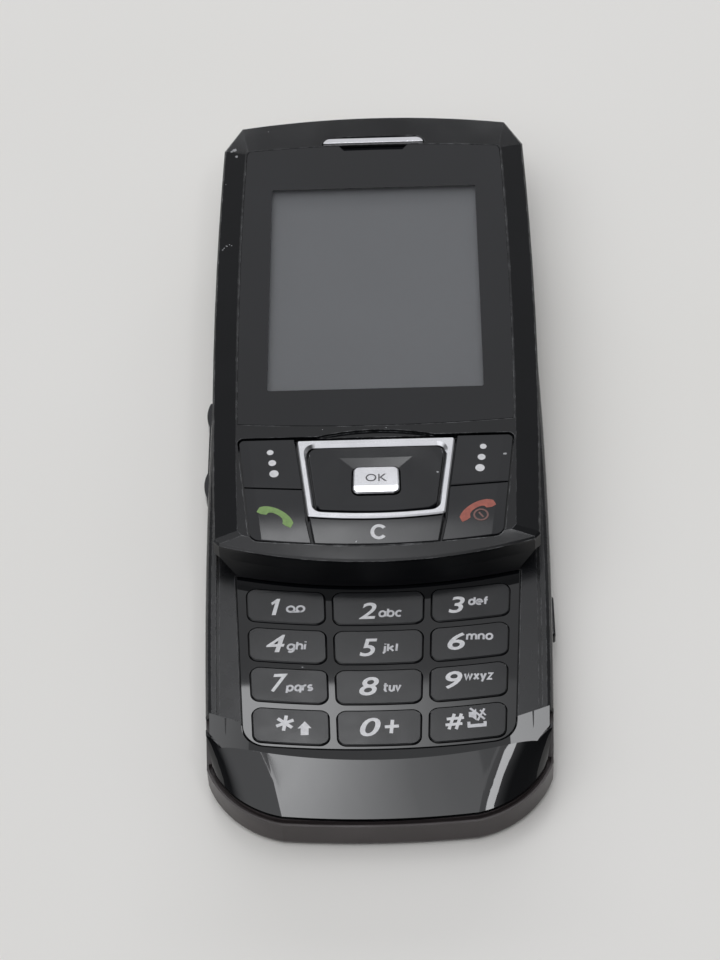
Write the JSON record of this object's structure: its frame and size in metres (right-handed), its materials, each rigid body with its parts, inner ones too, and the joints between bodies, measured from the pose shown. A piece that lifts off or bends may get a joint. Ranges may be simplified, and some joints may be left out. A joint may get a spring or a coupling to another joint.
{
  "type": "slider phone",
  "caption": "Slim black slider phone shown open: a screen half with a navigation cluster slides up off a keypad half with a glossy chin.",
  "frame": {"origin": "middle of the open phone's length and width, on the surface it lies on", "axes": "+X to the right of the screen, +Y towards the earpiece, +Z out of the screen"},
  "size_m": [0.0518, 0.1354, 0.0129],
  "materials": {
    "satin_black": "satin black moulded plastic",
    "gloss_black": "high-gloss black plastic",
    "key_black": "satin black keys with printed legends",
    "window": "tinted acrylic window",
    "screen": "grey unlit display in a dark frame",
    "bright_metal": "bright plated metal",
    "rubber": "soft black flap",
    "lens": "clear lens",
    "board": "green circuit board",
    "steel": "plain steel",
    "gold": "gold-plated contacts",
    "inner_plastic": "dark inner plastic",
    "battery": "grey battery case",
    "ribbon": "amber ribbon",
    "print_white": "white pad-printed ink",
    "print_grey": "light grey pad-printed ink",
    "print_green": "green pad-printed ink",
    "print_red": "red pad-printed ink"
  },
  "bodies": {
    "base": {"rear_housing": "satin_black", "front_housing": "satin_black", "chin_cover": "gloss_black", "keypad_panel": "gloss_black", "dome_sheet": "steel", "main_board": "board", "shield_cans": "steel", "battery_pack": "battery", "battery_contacts": "gold", "side_switches": "inner_plastic", "sim_holder": "inner_plastic", "interface_connector": "inner_plastic", "microphone": "inner_plastic", "loudspeaker": "inner_plastic", "vibration_motor": "inner_plastic", "antenna": "inner_plastic", "rail_plate": "steel", "rail_screws": "steel", "base_screws": "steel", "flex_cable": "ribbon", "slide_spring": "steel"},
    "slide": {"slide_front_cover": "satin_black", "slide_rear_cover": "satin_black", "slide_screws": "steel", "display_window": "window", "display_module": "screen", "slide_board": "board", "slide_domes": "steel", "earpiece_grille": "bright_metal", "receiver": "inner_plastic", "nav_ring": "bright_metal", "camera_module": "inner_plastic", "camera_window": "lens", "flash_lens": "lens", "carriage_plate": "steel", "carriage_screws": "steel"},
    "battery_cover_body": {"battery_cover": "satin_black"},
    "volume_key_body": {"volume_key": "satin_black"},
    "camera_key_body": {"camera_key": "satin_black"},
    "socket_cover_body": {"socket_cover": "rubber"},
    "key_1_body": {"key_1": "key_black"},
    "key_2_body": {"key_2": "key_black"},
    "key_3_body": {"key_3": "key_black"},
    "key_4_body": {"key_4": "key_black"},
    "key_5_body": {"key_5": "key_black"},
    "key_6_body": {"key_6": "key_black"},
    "key_7_body": {"key_7": "key_black"},
    "key_8_body": {"key_8": "key_black"},
    "key_9_body": {"key_9": "key_black"},
    "key_star_body": {"key_star": "key_black"},
    "key_0_body": {"key_0": "key_black"},
    "key_hash_body": {"key_hash": "key_black"},
    "nav_pivot_body": {"nav_pivot": "inner_plastic"},
    "nav_key_body": {"nav_key": "key_black"},
    "ok_key_body": {"ok_key": "bright_metal"},
    "soft_key_left_body": {"soft_key_left": "key_black"},
    "soft_key_right_body": {"soft_key_right": "key_black"},
    "call_key_body": {"call_key": "key_black"},
    "end_key_body": {"end_key": "key_black"},
    "clear_key_body": {"clear_key": "key_black"}
  },
  "joints": [
    {"name": "slide_travel", "type": "slide", "parent": "base", "child": "slide", "axis": [0, 1, 0], "range_m": [-0.032, 0]},
    {"name": "key_1_press", "type": "slide", "parent": "base", "child": "key_1_body", "axis": [0, 0, -1], "range_m": [0, 0.0003], "stiffness_N_per_m": 3000},
    {"name": "key_2_press", "type": "slide", "parent": "base", "child": "key_2_body", "axis": [0, 0, -1], "range_m": [0, 0.0003], "stiffness_N_per_m": 3000},
    {"name": "key_3_press", "type": "slide", "parent": "base", "child": "key_3_body", "axis": [0, 0, -1], "range_m": [0, 0.0003], "stiffness_N_per_m": 3000},
    {"name": "key_4_press", "type": "slide", "parent": "base", "child": "key_4_body", "axis": [0, 0, -1], "range_m": [0, 0.0003], "stiffness_N_per_m": 3000},
    {"name": "key_5_press", "type": "slide", "parent": "base", "child": "key_5_body", "axis": [0, 0, -1], "range_m": [0, 0.0003], "stiffness_N_per_m": 3000},
    {"name": "key_6_press", "type": "slide", "parent": "base", "child": "key_6_body", "axis": [0, 0, -1], "range_m": [0, 0.0003], "stiffness_N_per_m": 3000},
    {"name": "key_7_press", "type": "slide", "parent": "base", "child": "key_7_body", "axis": [0, 0, -1], "range_m": [0, 0.0003], "stiffness_N_per_m": 3000},
    {"name": "key_8_press", "type": "slide", "parent": "base", "child": "key_8_body", "axis": [0, 0, -1], "range_m": [0, 0.0003], "stiffness_N_per_m": 3000},
    {"name": "key_9_press", "type": "slide", "parent": "base", "child": "key_9_body", "axis": [0, 0, -1], "range_m": [0, 0.0003], "stiffness_N_per_m": 3000},
    {"name": "key_star_press", "type": "slide", "parent": "base", "child": "key_star_body", "axis": [0, 0, -1], "range_m": [0, 0.0003], "stiffness_N_per_m": 3000},
    {"name": "key_0_press", "type": "slide", "parent": "base", "child": "key_0_body", "axis": [0, 0, -1], "range_m": [0, 0.0003], "stiffness_N_per_m": 3000},
    {"name": "key_hash_press", "type": "slide", "parent": "base", "child": "key_hash_body", "axis": [0, 0, -1], "range_m": [0, 0.0003], "stiffness_N_per_m": 3000},
    {"name": "volume_key_rock", "type": "hinge", "parent": "base", "child": "volume_key_body", "pos_m": [-0.02329, 0.00155, 0.0033], "axis": [0, 0, 1], "range_deg": [-1.5, 1.5], "stiffness_Nm_per_rad": 0.5},
    {"name": "camera_key_press", "type": "slide", "parent": "base", "child": "camera_key_body", "axis": [-1, 0, 0], "range_m": [0, 0.0004], "stiffness_N_per_m": 3000},
    {"name": "socket_cover_swing", "type": "hinge", "parent": "base", "child": "socket_cover_body", "pos_m": [0.02508, 0.00668, 0.0033], "axis": [0, 0, -1], "range_deg": [0, 100]},
    {"name": "battery_cover_slide", "type": "slide", "parent": "base", "child": "battery_cover_body", "axis": [0, 1, 0], "range_m": [0, 0.012]},
    {"name": "nav_pivot_tilt", "type": "hinge", "parent": "slide", "child": "nav_pivot_body", "pos_m": [0, -0.0122, 0.0113], "axis": [1, 0, 0], "range_deg": [-1.2, 1.2], "stiffness_Nm_per_rad": 0.2},
    {"name": "nav_key_tilt", "type": "hinge", "parent": "nav_pivot_body", "child": "nav_key_body", "pos_m": [0, -0.0122, 0.0113], "axis": [0, 1, 0], "range_deg": [-1.2, 1.2], "stiffness_Nm_per_rad": 0.2},
    {"name": "ok_key_press", "type": "slide", "parent": "slide", "child": "ok_key_body", "axis": [0, 0, -1], "range_m": [0, 0.0003], "stiffness_N_per_m": 3000},
    {"name": "soft_key_left_press", "type": "slide", "parent": "slide", "child": "soft_key_left_body", "axis": [0, 0, -1], "range_m": [0, 0.0003], "stiffness_N_per_m": 3000},
    {"name": "soft_key_right_press", "type": "slide", "parent": "slide", "child": "soft_key_right_body", "axis": [0, 0, -1], "range_m": [0, 0.0003], "stiffness_N_per_m": 3000},
    {"name": "call_key_press", "type": "slide", "parent": "slide", "child": "call_key_body", "axis": [0, 0, -1], "range_m": [0, 0.0003], "stiffness_N_per_m": 3000},
    {"name": "end_key_press", "type": "slide", "parent": "slide", "child": "end_key_body", "axis": [0, 0, -1], "range_m": [0, 0.0003], "stiffness_N_per_m": 3000},
    {"name": "clear_key_press", "type": "slide", "parent": "slide", "child": "clear_key_body", "axis": [0, 0, -1], "range_m": [0, 0.0003], "stiffness_N_per_m": 3000}
  ]
}
